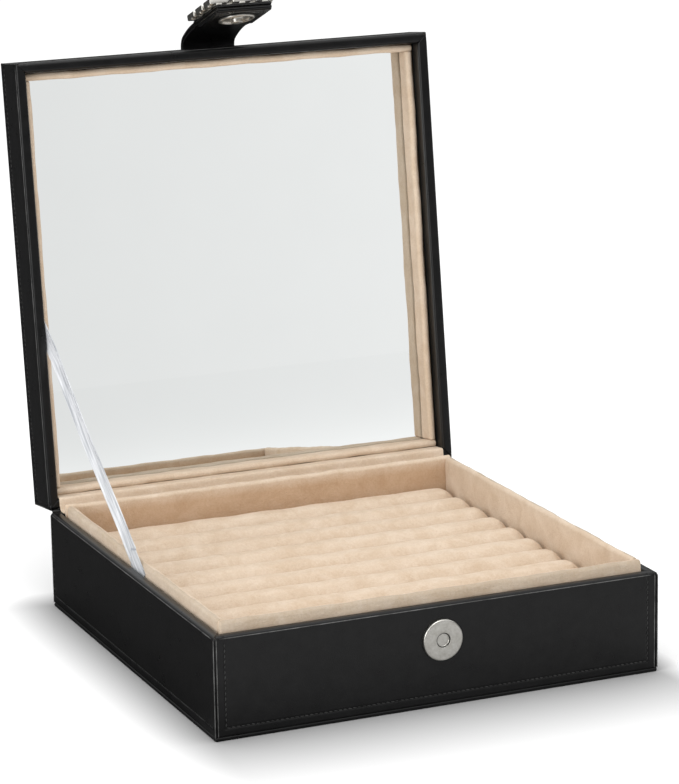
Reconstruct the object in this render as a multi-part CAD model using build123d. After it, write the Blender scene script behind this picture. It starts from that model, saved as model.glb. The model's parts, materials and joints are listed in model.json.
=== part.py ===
from build123d import *
import os
from math import cos, radians, sin, tan

# Square jewelry box of leather-covered board, lined with velvet, drawn with its lid open.
# Millimetres; +X right, +Y back, +Z up. The origin is the middle of the underside.
# The lid and its clasp are drawn shut, then swung open about the hinge.
os.makedirs("parts", exist_ok=True)

# Driving dimensions of the case.
BOX = 204.0
SOLE = 1.8
BASE_RIM = 44.8
LID_DEPTH = 22.5
RIM_GAP = 1.0
LEATHER = 0.8
BOARD = 3.2
BOTTOM_BOARD = 3.2
SEAM_RETURN = 1.8
BASE_FLAP = 7.0
LID_FLAP = 8.0
LID_OPEN = 97.0

# Velvet lining, ring rolls and mirror.
LINER = 3.4
LINER_SLACK = 0.4
LINER_RISE = 4.5
LINER_ROUND = 1.5
LID_LINER_RECESS = 6.5
FLOOR_CARD = 1.6
ROLL_TOP = 38.0
ROLL_HEIGHT = 19.6
ROLL_COUNT = 10
ROLL_GAP = 0.2
ROLL_ROUND = 8.6
VELVET_WRAP = 1.2
MIRROR = 2.0
MIRROR_CARD = 0.5

# Leather spine, inner hinge strip and ribbon stay.
SPINE = 0.7
SPINE_REACH = 12.0
SPINE_INSET = 1.0
HINGE_LINING = 0.4
HINGE_LINING_INSET = 0.6
RIBBON_WIDTH = 10.0
RIBBON_THICK = 0.3
RIBBON_BASE_Y = -2.0
RIBBON_LID_REACH = 84.0
RIBBON_TUCK = 6.0

# Clasp strap, snap and ornament.
STRAP_WIDTH = 26.0
STRAP_PLY = 1.5
ANCHOR_LENGTH = 30.0
BEND_TIGHT_RADIUS = 5.5
BEND_TIGHT_TURN = 60.0
BEND_SLACK_RADIUS = 58.5
BEND_SLACK_TURN = 16.0
TAB_WIDTH = 27.4
TAB_LENGTH = 33.6
TAB_PAD = 1.0
TAB_PAD_START = 7.0
TAB_CORNER = 1.5
SNAP_HEIGHT = 29.4
SOCKET_RADIUS = 9.0
SOCKET_THICK = 1.8
SOCKET_SHELL = 0.4
SOCKET_HOLE = 3.3
SOCKET_ROUND = 0.6
STUD_DISC_RADIUS = 8.5
STUD_DISC_THICK = 1.2
STUD_RADIUS = 2.8
STUD_LENGTH = 1.4
STUD_ROUND = 0.5
SNAP_CLEARANCE = 0.3
WASHER_RADIUS = 6.8
WASHER_THICK = 0.5
PRONG_WIDTH = 3.0
PRONG_THICK = 0.8
PRONG_OFFSET = 4.6
BLOCK = 9.0
BLOCK_PITCH = 11.3
BLOCK_HEIGHT = 2.4
BLOCK_CHAMFER = 0.4
BAR_WIDTH = 3.0
BAR_HEIGHT = 1.2
PIN_RADIUS = 0.6
ORNAMENT_MIDDLE = 16.2
FIT = 0.1

# Worked-out sizes.
HALF = BOX / 2
WALL = BOARD + 2 * LEATHER
INNER = HALF - WALL
LINER_OUT = INNER - LINER_SLACK
LINER_IN = LINER_OUT - LINER
FACE = HALF - SEAM_RETURN
LID_RIM = BASE_RIM + RIM_GAP
LID_TOP = LID_RIM + LID_DEPTH
TRAY_FLOOR = SOLE + BOTTOM_BOARD
HINGE_Y = HALF + SPINE / 2
HINGE_Z = BASE_RIM + RIM_GAP / 2
HINGE = Axis((0, HINGE_Y, HINGE_Z), (1, 0, 0))
STRAP_THICK = 2 * STRAP_PLY
TAB_GAP = SOCKET_THICK + SNAP_CLEARANCE + STUD_DISC_THICK


def slab(x0, x1, y0, y1, z0, z1):
    """A block between two corners."""
    block = Box(x1 - x0, y1 - y0, z1 - z0)
    return Pos((x0 + x1) / 2, (y0 + y1) / 2, (z0 + z1) / 2) * block


def walled(x0, x1, y0, y1, rim, grow, near, far):
    """A block whose height runs from near to far, counted from a rim up (+1) or down (-1)."""
    low, high = sorted((rim + grow * near, rim + grow * far))
    return slab(x0, x1, y0, y1, low, high)


def half_turn(shape):
    """The same piece on the opposite side of the box."""
    return shape.rotate(Axis.Z, 180)


def swing(y, z, angle=LID_OPEN):
    """Where a point of the shut lid goes when the lid opens by an angle."""
    turn = radians(angle)
    dy = y - HINGE_Y
    dz = z - HINGE_Z
    return (HINGE_Y + dy * cos(turn) + dz * sin(turn), HINGE_Z - dy * sin(turn) + dz * cos(turn))


def open_lid(shape):
    """The shut piece, swung open with the lid."""
    return shape.rotate(HINGE, -LID_OPEN)


def side_profile(points, x0, x1):
    """A solid whose outline in the Y-Z plane is given, from x0 to x1."""
    outline = Polyline(*[(0, y, z) for y, z in points], close=True)
    face = make_face(outline)
    return Pos(x0, 0, 0) * extrude(face, amount=x1 - x0, dir=(1, 0, 0))


def save(node, shape):
    """Write one node's STEP file."""
    export_step(shape, f"parts/{node}.step")


# Case boards: front and back run the full width, the sides fit between them.
def front_board(rim, grow, depth):
    edge = HALF - LEATHER
    return walled(-edge, edge, -edge, -edge + BOARD, rim, grow, LEATHER, depth)


def left_board(rim, grow, depth):
    edge = HALF - LEATHER
    return walled(-edge, -edge + BOARD, -edge + BOARD, edge - BOARD, rim, grow, LEATHER, depth)


# Leather: each panel covers its board, turns over the rim and runs a little way down inside.
def front_leather(rim, grow, depth, flap):
    outside = walled(-FACE, FACE, -HALF, -HALF + LEATHER, rim, grow, 0, depth)
    turn = walled(-INNER, INNER, -HALF + LEATHER, -INNER, rim, grow, 0, LEATHER)
    inside = walled(-INNER, INNER, -INNER - LEATHER, -INNER, rim, grow, LEATHER, flap)
    return outside + turn + inside


def left_leather(rim, grow, depth, flap):
    outside = walled(-HALF, -HALF + LEATHER, -HALF, HALF, rim, grow, 0, depth)
    corner = walled(-HALF, -FACE, -HALF, -HALF + LEATHER, rim, grow, 0, depth)
    turn = walled(
        -HALF + LEATHER, -INNER, -HALF + LEATHER, HALF - LEATHER, rim, grow, 0, LEATHER
    )
    inside = walled(-INNER - LEATHER, -INNER, -INNER, INNER, rim, grow, LEATHER, flap)
    return outside + corner + mirror(corner, Plane.XZ) + turn + inside


# Velvet-covered cards that line the walls.
def rounded_rim(card, high):
    """Round the long edges of a card along its exposed rim."""
    direction = Axis.Z if high else -Axis.Z
    rim_face = card.faces().sort_by(direction)[-1]
    long_edges = rim_face.edges().sort_by(SortBy.LENGTH)[-2:]
    return fillet(long_edges, LINER_ROUND)


def front_liner(z0, z1, high):
    return rounded_rim(slab(-LINER_OUT, LINER_OUT, -LINER_OUT, -LINER_IN, z0, z1), high)


def left_liner(z0, z1, high):
    return rounded_rim(slab(-LINER_OUT, -LINER_IN, -LINER_IN, LINER_IN, z0, z1), high)


def make_base():
    """The sole, five boards and four leather panels of the base."""
    depth = BASE_RIM - SOLE
    board_depth = BASE_RIM - TRAY_FLOOR
    edge = HALF - LEATHER
    save("base_sole", slab(-HALF, HALF, -HALF, HALF, 0, SOLE))
    save("base_board_bottom", slab(-edge, edge, -edge, edge, SOLE, TRAY_FLOOR))
    slots = prong_slots(-HALF + LEATHER + BOARD / 2, 2 * WALL)
    board = front_board(BASE_RIM, -1, board_depth)
    save("base_board_front", board - slots)
    save("base_board_back", half_turn(board))
    side = left_board(BASE_RIM, -1, board_depth)
    save("base_board_left", side)
    save("base_board_right", half_turn(side))
    leather = front_leather(BASE_RIM, -1, depth, BASE_FLAP)
    save("base_leather_front", leather - slots)
    save("base_leather_back", half_turn(leather))
    side_leather = left_leather(BASE_RIM, -1, depth, BASE_FLAP)
    save("base_leather_left", side_leather)
    save("base_leather_right", half_turn(side_leather))


def make_tray():
    """The velvet cards round the tray, and the card and foam under the rolls."""
    top = BASE_RIM + LINER_RISE
    front = front_liner(TRAY_FLOOR, top, True)
    side = left_liner(TRAY_FLOOR, top, True)
    save("base_liner_front", front)
    save("base_liner_back", half_turn(front))
    save("base_liner_left", side)
    save("base_liner_right", half_turn(side))
    card_top = TRAY_FLOOR + FLOOR_CARD
    roll_bottom = ROLL_TOP - ROLL_HEIGHT
    save("tray_floor_card", slab(-LINER_IN, LINER_IN, -LINER_IN, LINER_IN, TRAY_FLOOR, card_top))
    save("tray_foam_pad", slab(-LINER_IN, LINER_IN, -LINER_IN, LINER_IN, card_top, roll_bottom))


def roll_solid(width, height, corner, length):
    """A rounded bar along X, centred on the origin."""
    section = Plane.YZ * RectangleRounded(width, height, corner)
    return extrude(section, amount=length / 2, both=True)


def make_ring_rolls():
    """Ten velvet sleeves in a row, and the foam cores inside them as one group."""
    pitch = 2 * LINER_IN / ROLL_COUNT
    width = pitch - ROLL_GAP
    length = 2 * LINER_IN - ROLL_GAP
    core_width = width - 2 * VELVET_WRAP
    core_height = ROLL_HEIGHT - 2 * VELVET_WRAP
    core = roll_solid(core_width, core_height, ROLL_ROUND - VELVET_WRAP, length)
    sleeve = roll_solid(width, ROLL_HEIGHT, ROLL_ROUND, length) - core
    cores = []
    for index in range(ROLL_COUNT):
        place = Pos(0, LINER_IN - pitch * (index + 0.5), ROLL_TOP - ROLL_HEIGHT / 2)
        save(f"ring_roll_{index + 1:02d}", place * sleeve)
        cores.append(place * core)
    save("ring_roll_cores", Compound(children=cores))


def along_y(radius, y0, y1, z=SNAP_HEIGHT):
    """A round bar along Y between two depths."""
    bar = Cylinder(radius, y1 - y0, rotation=(90, 0, 0))
    return Pos(0, (y0 + y1) / 2, z) * bar


def prong_slots(middle, length):
    """The two slots that the snap's prongs pass through."""
    slot = Box(PRONG_THICK + 2 * FIT, length, PRONG_WIDTH + 2 * FIT)
    left = Pos(-PRONG_OFFSET, middle, SNAP_HEIGHT) * slot
    return left + mirror(left, Plane.YZ)


def snap_prongs(y0, y1):
    """The two prongs of half a snap, between two depths."""
    prong = Box(PRONG_THICK, y1 - y0, PRONG_WIDTH)
    left = Pos(-PRONG_OFFSET, (y0 + y1) / 2, SNAP_HEIGHT) * prong
    return left + mirror(left, Plane.YZ)


def make_snap_socket():
    """The cup with its blind hole, the ring magnet inside it, and the washer behind the wall."""
    face = -HALF - SOCKET_THICK
    shell = along_y(SOCKET_RADIUS, face, -HALF)
    shell = fillet(shell.edges().sort_by(Axis.Y)[0], SOCKET_ROUND)
    cavity = along_y(SOCKET_RADIUS - 2 * SOCKET_SHELL, face + SOCKET_SHELL, -HALF)
    collar = along_y(SOCKET_HOLE + SOCKET_SHELL, face, -HALF)
    hole = along_y(SOCKET_HOLE, face - SOCKET_THICK, -HALF)
    back_plate = along_y(SOCKET_RADIUS - SOCKET_SHELL, -HALF - SOCKET_SHELL, -HALF)
    prongs = snap_prongs(-HALF, -HALF + WALL - LEATHER + WASHER_THICK)
    save("snap_socket", shell - cavity + collar - hole + back_plate + prongs)
    magnet_out = SOCKET_RADIUS - 2 * SOCKET_SHELL - FIT
    magnet = along_y(magnet_out, face + SOCKET_SHELL, -HALF - SOCKET_SHELL)
    bore = along_y(SOCKET_HOLE + SOCKET_SHELL + FIT, face, -HALF)
    save("snap_magnet", magnet - bore)
    board_back = -HALF + LEATHER + BOARD
    washer = along_y(WASHER_RADIUS, board_back, board_back + WASHER_THICK)
    save("snap_socket_washer", washer - prong_slots(board_back, 4 * WASHER_THICK))


def make_lid():
    """The five boards and five leather panels of the lid."""
    depth = LID_DEPTH - LEATHER
    board_depth = depth - BOARD
    edge = HALF - LEATHER
    top_board = slab(-edge, edge, -edge, edge, LID_TOP - LEATHER - BOARD, LID_TOP - LEATHER)
    save("lid_board_top", open_lid(top_board))
    board = front_board(LID_RIM, 1, board_depth)
    save("lid_board_front", open_lid(board))
    save("lid_board_back", open_lid(half_turn(board)))
    side = left_board(LID_RIM, 1, board_depth)
    save("lid_board_left", open_lid(side))
    save("lid_board_right", open_lid(half_turn(side)))
    leather = front_leather(LID_RIM, 1, depth, LID_FLAP)
    save("lid_leather_front", open_lid(leather))
    save("lid_leather_back", open_lid(half_turn(leather)))
    side_leather = left_leather(LID_RIM, 1, depth, LID_FLAP)
    save("lid_leather_left", open_lid(side_leather))
    save("lid_leather_right", open_lid(half_turn(side_leather)))
    panel = slab(-HALF, HALF, -HALF, HALF, LID_TOP - LEATHER, LID_TOP)
    save("lid_leather_top", open_lid(panel))


def make_mirror():
    """The glass on its card, and the velvet frame that holds it."""
    board_face = LID_TOP - LEATHER - BOARD
    glass_back = board_face - MIRROR_CARD
    glass_face = glass_back - MIRROR
    card = slab(-LINER_OUT, LINER_OUT, -LINER_OUT, LINER_OUT, glass_back, board_face)
    glass = slab(-LINER_OUT, LINER_OUT, -LINER_OUT, LINER_OUT, glass_face, glass_back)
    save("mirror_backing_card", open_lid(card))
    save("mirror_glass", open_lid(glass))
    liner_rim = LID_RIM + LID_LINER_RECESS
    front = front_liner(liner_rim, glass_face, False)
    side = left_liner(liner_rim, glass_face, False)
    save("lid_liner_front", open_lid(front))
    save("lid_liner_back", open_lid(half_turn(front)))
    save("lid_liner_left", open_lid(side))
    save("lid_liner_right", open_lid(half_turn(side)))


def make_hinge():
    """The outer leather spine and the inner velvet strip, as they lie with the lid open."""
    out = HALF + SPINE
    spine = [
        (HALF, BASE_RIM - SPINE_REACH),
        (out, BASE_RIM - SPINE_REACH),
        (out, BASE_RIM),
        swing(out, LID_RIM),
        swing(out, LID_RIM + SPINE_REACH),
        swing(HALF, LID_RIM + SPINE_REACH),
        swing(HALF, LID_RIM),
        (HALF, BASE_RIM),
    ]
    save("hinge_spine_leather", side_profile(spine, -HALF + SPINE_INSET, HALF - SPINE_INSET))
    back = HALF - HINGE_LINING_INSET
    lining = [
        (LINER_OUT + LINER_SLACK, BASE_RIM),
        (back, BASE_RIM),
        swing(back, LID_RIM),
        swing(LINER_OUT + LINER_SLACK, LID_RIM),
        swing(LINER_OUT + LINER_SLACK, LID_RIM - HINGE_LINING),
        swing(back, LID_RIM - HINGE_LINING),
        (back, BASE_RIM + HINGE_LINING),
        (LINER_OUT + LINER_SLACK, BASE_RIM + HINGE_LINING),
    ]
    save("hinge_inner_lining", side_profile(lining, -INNER, INNER))


def make_ribbon_stay():
    """A taut strip in the slot between wall and liner, from the base to the open lid."""
    lid_y, lid_z = swing(HALF - RIBBON_LID_REACH, LID_RIM + LID_LINER_RECESS)
    start = Vector(0, RIBBON_BASE_Y, BASE_RIM)
    line = Vector(0, lid_y, lid_z) - start
    along = line.normalized()
    across = Vector(0, -along.Z, along.Y) * (RIBBON_WIDTH / 2)
    low = start - along * RIBBON_TUCK
    high = start + line + along * RIBBON_TUCK
    corners = [low - across, high - across, high + across, low + across]
    middle = -INNER + LINER_SLACK / 2
    outline = [(corner.Y, corner.Z) for corner in corners]
    strip = side_profile(outline, middle - RIBBON_THICK / 2, middle + RIBBON_THICK / 2)
    save("ribbon_stay", strip)


# The clasp is drawn shut. A strap runs over the lid's front edge and down to the snap. With
# the box open it stands away from the front, because its leather is set in a looser bend.
def turning_centre(before, after, angle):
    """The centre of the turn by an angle, anticlockwise, that carries one point to another."""
    middle = (before + after) / 2
    step = after - before
    reach = 1 / (2 * tan(radians(angle) / 2))
    return Vector(middle.X - step.Y * reach, middle.Y + step.X * reach)


def turned(point, centre, angle):
    """A point of the Y-Z plane, turned anticlockwise about a centre."""
    return centre + (point - centre).rotate(Axis.Z, angle)


STRAP_LINE = LID_TOP + STRAP_PLY
TIGHT_CENTRE = Vector(-HALF, STRAP_LINE - BEND_TIGHT_RADIUS)
BEND_MIDDLE = turned(Vector(-HALF, STRAP_LINE), TIGHT_CENTRE, BEND_TIGHT_TURN)
SLACK_CENTRE = BEND_MIDDLE + (TIGHT_CENTRE - BEND_MIDDLE) * (BEND_SLACK_RADIUS / BEND_TIGHT_RADIUS)
TAB_START_FREE = turned(BEND_MIDDLE, SLACK_CENTRE, BEND_SLACK_TURN)
CLASP_TRAVEL = 90 - BEND_TIGHT_TURN - BEND_SLACK_TURN
BEND_LENGTH = radians(BEND_TIGHT_TURN) * BEND_TIGHT_RADIUS
BEND_LENGTH += radians(BEND_SLACK_TURN) * BEND_SLACK_RADIUS
SHUT_RADIUS = TAB_GAP + TAB_PAD + STRAP_PLY
SHUT_DROP = SHUT_RADIUS + BEND_LENGTH - radians(90) * SHUT_RADIUS
TAB_START_SHUT = Vector(-HALF - SHUT_RADIUS, STRAP_LINE - SHUT_DROP)
CLASP_CENTRE = turning_centre(TAB_START_FREE, TAB_START_SHUT, CLASP_TRAVEL)
CLASP_HINGE = Axis((0, CLASP_CENTRE.X, CLASP_CENTRE.Y), (1, 0, 0))


def free_clasp(shape):
    """A piece of the shut clasp, sprung away from the front and swung open with the lid."""
    return open_lid(shape.rotate(CLASP_HINGE, -CLASP_TRAVEL))


def tab_slab(width, t0, t1, h0, h1):
    """A block of the shut tab: t runs down from its start, h runs forward from its middle."""
    y = TAB_START_SHUT.X
    z = TAB_START_SHUT.Y
    return slab(-width / 2, width / 2, y - h1, y - h0, z - t1, z - t0)


def tab_layer(t0, h0, h1):
    """One layer of the tab, with its two lower corners rounded."""
    layer = tab_slab(TAB_WIDTH, t0, TAB_LENGTH, h0, h1)
    lower = layer.edges().filter_by(Axis.Y).sort_by(Axis.Z)[:2]
    return fillet(lower, TAB_CORNER)


def tab_depth(h):
    """The Y of a height above the shut tab's middle line."""
    return TAB_START_SHUT.X - h


def strap_section(centre_z):
    """The strap's cross-section, standing across its run at the lid's front edge."""
    section = Plane.XZ * Rectangle(STRAP_WIDTH, STRAP_THICK)
    return Pos(0, -HALF, centre_z) * section


def make_strap():
    """The end glued to the lid, and the bend: a tight turn and a slack one."""
    anchor = slab(
        -STRAP_WIDTH / 2, STRAP_WIDTH / 2, -HALF, -HALF + ANCHOR_LENGTH, LID_TOP, LID_TOP + STRAP_THICK
    )
    corners = anchor.edges().filter_by(Axis.Z).sort_by(Axis.Y)[-2:]
    save("strap_anchor", open_lid(fillet(corners, TAB_CORNER)))
    tight_axis = Axis((0, TIGHT_CENTRE.X, TIGHT_CENTRE.Y), (1, 0, 0))
    slack_axis = Axis((0, SLACK_CENTRE.X, SLACK_CENTRE.Y), (1, 0, 0))
    section = strap_section(STRAP_LINE)
    tight = revolve(section, tight_axis, BEND_TIGHT_TURN)
    slack = revolve(section.rotate(tight_axis, BEND_TIGHT_TURN), slack_axis, BEND_SLACK_TURN)
    save("strap_bend", open_lid(tight + slack))


def make_tab():
    """The tab's two plies and pad, and the stud half of the snap, held by its washer."""
    pad_face = -STRAP_PLY - TAB_PAD
    slots = prong_slots(tab_depth(0) + WALL / 2, WALL - WASHER_THICK)
    slots = Pos(0, WASHER_THICK / 2, 0) * slots
    pocket = along_y(WASHER_RADIUS + FIT, tab_depth(0), tab_depth(-WASHER_THICK))
    upper = tab_layer(0, 0, STRAP_PLY)
    lining = tab_layer(0, -STRAP_PLY, 0) - pocket - slots
    pad = tab_layer(TAB_PAD_START, pad_face, -STRAP_PLY) - slots
    save("clasp_leather_upper", free_clasp(upper - ornament_pins(FIT)))
    save("clasp_leather_lining", free_clasp(lining))
    save("clasp_end_pad", free_clasp(pad))
    washer = along_y(WASHER_RADIUS, tab_depth(0), tab_depth(-WASHER_THICK))
    washer_slots = prong_slots(tab_depth(0), 4 * WASHER_THICK)
    save("snap_stud_washer", free_clasp(washer - washer_slots))
    disc_back = tab_depth(pad_face)
    disc_face = disc_back + STUD_DISC_THICK
    disc = along_y(STUD_DISC_RADIUS, disc_back, disc_face)
    disc = fillet(disc.edges().sort_by(Axis.Y)[-1], STUD_ROUND)
    stud = along_y(STUD_RADIUS, disc_back, disc_face + STUD_LENGTH)
    stud = fillet(stud.edges().sort_by(Axis.Y)[-1], STUD_ROUND)
    prongs = snap_prongs(tab_depth(0), disc_back)
    save("snap_stud", free_clasp(disc + stud + prongs))


def lattice_steps():
    """The three places of the ornament's blocks, either side of its middle."""
    return [-BLOCK_PITCH, 0, BLOCK_PITCH]


def ornament_pins(extra):
    """The four short pins that hold the ornament through the upper leather."""
    pins = Part()
    for x in (-BLOCK_PITCH, BLOCK_PITCH):
        for t in (-BLOCK_PITCH, BLOCK_PITCH):
            z = TAB_START_SHUT.Y - ORNAMENT_MIDDLE - t
            pin = along_y(PIN_RADIUS + extra, tab_depth(STRAP_PLY), tab_depth(0), z)
            pins += Pos(x, 0, 0) * pin
    return pins


def make_ornament():
    """Nine raised blocks on a lattice of flat bars."""
    span = 2 * BLOCK_PITCH + BLOCK
    first = ORNAMENT_MIDDLE - span / 2
    bar_top = STRAP_PLY + BAR_HEIGHT
    lattice = ornament_pins(0)
    for step in lattice_steps():
        row = tab_slab(
            span,
            ORNAMENT_MIDDLE + step - BAR_WIDTH / 2,
            ORNAMENT_MIDDLE + step + BAR_WIDTH / 2,
            STRAP_PLY,
            bar_top,
        )
        column = tab_slab(BAR_WIDTH, first, first + span, STRAP_PLY, bar_top)
        lattice += row + Pos(step, 0, 0) * column
    for x in lattice_steps():
        for step in lattice_steps():
            t0 = ORNAMENT_MIDDLE + step - BLOCK / 2
            block = tab_slab(BLOCK, t0, t0 + BLOCK, bar_top, bar_top + BLOCK_HEIGHT)
            top_edges = block.faces().sort_by(Axis.Y)[0].edges()
            lattice += Pos(x, 0, 0) * chamfer(top_edges, BLOCK_CHAMFER)
    save("clasp_ornament", free_clasp(lattice))


def print_joints():
    """The joint centres with the box open, in metres."""
    y, z = swing(CLASP_CENTRE.X, CLASP_CENTRE.Y)
    print(f"lid hinge y {HINGE_Y / 1000:.6f} z {HINGE_Z / 1000:.6f}, opens {LID_OPEN} degrees")
    print(f"clasp centre y {y / 1000:.6f} z {z / 1000:.6f}, shuts by {CLASP_TRAVEL:.1f} degrees")


make_base()
make_tray()
make_ring_rolls()
make_snap_socket()
make_lid()
make_mirror()
make_hinge()
make_ribbon_stay()
make_strap()
make_tab()
make_ornament()
print_joints()
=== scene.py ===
import json
import bpy
import numpy as np
from mathutils import Matrix, Vector


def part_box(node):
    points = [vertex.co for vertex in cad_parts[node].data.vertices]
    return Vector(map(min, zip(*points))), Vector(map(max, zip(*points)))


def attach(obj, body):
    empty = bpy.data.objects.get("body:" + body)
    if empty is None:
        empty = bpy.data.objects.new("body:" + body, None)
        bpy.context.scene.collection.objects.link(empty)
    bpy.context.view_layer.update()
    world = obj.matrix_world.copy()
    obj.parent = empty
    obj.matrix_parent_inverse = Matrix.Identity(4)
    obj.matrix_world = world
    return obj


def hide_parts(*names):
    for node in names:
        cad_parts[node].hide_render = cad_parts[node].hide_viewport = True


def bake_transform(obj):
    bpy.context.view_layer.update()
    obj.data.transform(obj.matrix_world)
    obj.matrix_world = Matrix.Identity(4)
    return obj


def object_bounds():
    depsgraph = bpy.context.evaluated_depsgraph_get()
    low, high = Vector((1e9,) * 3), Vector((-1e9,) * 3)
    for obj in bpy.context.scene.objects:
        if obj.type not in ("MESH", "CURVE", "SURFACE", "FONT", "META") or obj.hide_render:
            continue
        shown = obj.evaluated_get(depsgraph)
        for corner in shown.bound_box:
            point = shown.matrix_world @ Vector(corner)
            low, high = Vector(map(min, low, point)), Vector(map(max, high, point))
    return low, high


# A square jewelry box of leather-covered board: a velvet tray of ring rolls, a lid with a
# mirror, a ribbon stay and a strap clasp. Metres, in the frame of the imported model, and most
# sizes are written as so many MM.
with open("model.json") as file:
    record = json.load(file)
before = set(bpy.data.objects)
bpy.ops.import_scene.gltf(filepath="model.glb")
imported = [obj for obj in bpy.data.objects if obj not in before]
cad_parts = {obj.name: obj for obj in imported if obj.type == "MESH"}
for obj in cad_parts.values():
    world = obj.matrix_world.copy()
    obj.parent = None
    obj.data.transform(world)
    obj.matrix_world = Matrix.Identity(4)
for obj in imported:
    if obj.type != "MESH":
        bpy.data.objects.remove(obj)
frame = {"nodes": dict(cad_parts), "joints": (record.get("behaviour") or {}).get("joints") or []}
cad_low, cad_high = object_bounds()
MM = 0.001

# Studio: a pale floor with a contact shadow painted round the box, an even white surround, a soft
# light overhead and a lower one on the left. Rough, glossy finishes see a darker room, as black
# flags round a table would give.
# The camera stands in front of the box, a little to its left.
YAW, PITCH, ROLL = np.radians((23.20, -14.06, -0.96))
EYE = (-0.5645, -1.3152, 0.4712)
forward = np.array((np.sin(YAW) * np.cos(PITCH), np.cos(YAW) * np.cos(PITCH), np.sin(PITCH)))
level = np.cross(forward, (0, 0, 1)) / np.cos(PITCH)
upright = np.cross(level, forward)
camera = bpy.data.objects.new("camera", bpy.data.cameras.new("camera"))
bpy.context.scene.collection.objects.link(camera)
camera.data.lens = 154.9
camera.data.sensor_width = 36
view_axes = np.eye(4)
view_axes[:3, 0] = np.cos(ROLL) * level + np.sin(ROLL) * upright
view_axes[:3, 1] = np.cos(ROLL) * upright - np.sin(ROLL) * level
view_axes[:3, 2] = -forward
view_axes[:3, 3] = EYE
camera.matrix_world = Matrix(view_axes.tolist())
bpy.context.scene.camera = camera
bpy.context.scene.view_settings.view_transform = "Standard"


def soft_light(name, place, aim, size, power):
    """A square soft light of a given side, turned from its place towards a point."""
    lamp = bpy.data.objects.new(name, bpy.data.lights.new(name, "AREA"))
    bpy.context.scene.collection.objects.link(lamp)
    lamp.data.size = size
    lamp.data.energy = power
    back = Vector(place) - Vector(aim)
    lamp.matrix_world = Matrix.Translation(place) @ back.to_track_quat("Z", "Y").to_matrix().to_4x4()


soft_light("overhead_light", (-0.1, -0.15, 1.7), (0, 0, 0.05), 1.2, 9)
soft_light("left_light", (-1.35, -0.6, 0.42), (0, 0, 0.12), 0.8, 7)


def add_node(tree, kind, **settings):
    """A shader node with its inputs set by name; underscores stand for spaces."""
    node = tree.nodes.new(kind)
    for name, value in settings.items():
        node.inputs[name.replace("_", " ")].default_value = value
    return node


def spread(tree, source, low, high, first=0.0, last=1.0):
    """A socket's range from first to last mapped to a range from low to high."""
    node = add_node(tree, "ShaderNodeMapRange", From_Min=first, From_Max=last, To_Min=low, To_Max=high)
    tree.links.new(source, node.inputs["Value"])
    return node.outputs["Result"]


def join_values(tree, operation, *values):
    """One math node on two or three values, each a socket or a number."""
    node = tree.nodes.new("ShaderNodeMath")
    node.operation = operation
    for socket, value in zip(node.inputs, values):
        if isinstance(value, (int, float)):
            socket.default_value = value
        else:
            tree.links.new(value, socket)
    return node.outputs[0]


def gloss_or_plain(tree, gloss, plain):
    """The gloss value for rays that a rough shiny finish sends out, and the plain value for others."""
    path = tree.nodes.new("ShaderNodeLightPath")
    blurred = join_values(tree, "SUBTRACT", path.outputs["Is Glossy Ray"], path.outputs["Is Singular Ray"])
    blurred.node.use_clamp = True
    mix = add_node(tree, "ShaderNodeMix", A=plain)
    tree.links.new(blurred, mix.inputs["Factor"])
    tree.links.new(gloss, mix.inputs["B"])
    return mix.outputs["Result"]


def painted_shadow_by_box(tree, place):
    """Whiteness of the floor: a soft contact shadow painted round the box, fading with the distance from it.

    Distances count in full in front of the box, more on its left and most behind and right. The
    distance is the root of the sum of the squares of the four sides' weighted gaps.
    """
    parts = tree.nodes.new("ShaderNodeSeparateXYZ")
    tree.links.new(place, parts.inputs["Vector"])
    squares = []
    for axis, sign, weight in (("X", -1, 3.2), ("X", 1, 6.0), ("Y", -1, 1.0), ("Y", 1, 4.0)):
        outwards = join_values(tree, "MULTIPLY", parts.outputs[axis], sign)
        beyond = join_values(tree, "SUBTRACT", outwards, cad_high[0])
        gap = join_values(tree, "MULTIPLY", join_values(tree, "MAXIMUM", beyond, 0.0), weight)
        squares.append(join_values(tree, "POWER", gap, 2.0))
    beside = join_values(tree, "ADD", *squares[:2])
    before = join_values(tree, "ADD", *squares[2:])
    distance = join_values(tree, "POWER", join_values(tree, "ADD", beside, before), 0.5)
    return spread(tree, distance, 0.42, 0.98, last=0.085)


def new_material(name):
    """A material with nodes, its node tree and its shader."""
    material = bpy.data.materials.new(name)
    material.use_nodes = True
    return material, material.node_tree, material.node_tree.nodes["Principled BSDF"]


surround = bpy.data.worlds.new("surround")
bpy.context.scene.world = surround
surround.use_nodes = True
surround.cycles.sampling_method = "NONE"
sky = surround.node_tree
sky_way = sky.nodes.new("ShaderNodeTexCoord")
sky_parts = sky.nodes.new("ShaderNodeSeparateXYZ")
sky.links.new(sky_way.outputs["Generated"], sky_parts.inputs["Vector"])
# To blurred reflections the surround is dark low down and white high up.
sky_gloss = spread(sky, sky_parts.outputs["Z"], 0.02, 1.0, first=0.12, last=0.6)
sky.links.new(gloss_or_plain(sky, sky_gloss, 1.04), sky.nodes["Background"].inputs["Strength"])
sky.nodes["Background"].inputs["Color"].default_value = (1, 1, 1, 1)
bpy.ops.mesh.primitive_circle_add(vertices=96, radius=9, fill_type="NGON")
floor = bpy.context.object
floor.name = "floor"
floor_paint, floor_tree, floor_shader = new_material("floor_paint")
floor_shader.inputs["Roughness"].default_value = 0.9
floor_shader.inputs["Specular IOR Level"].default_value = 0
floor_way = floor_tree.nodes.new("ShaderNodeTexCoord")
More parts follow.
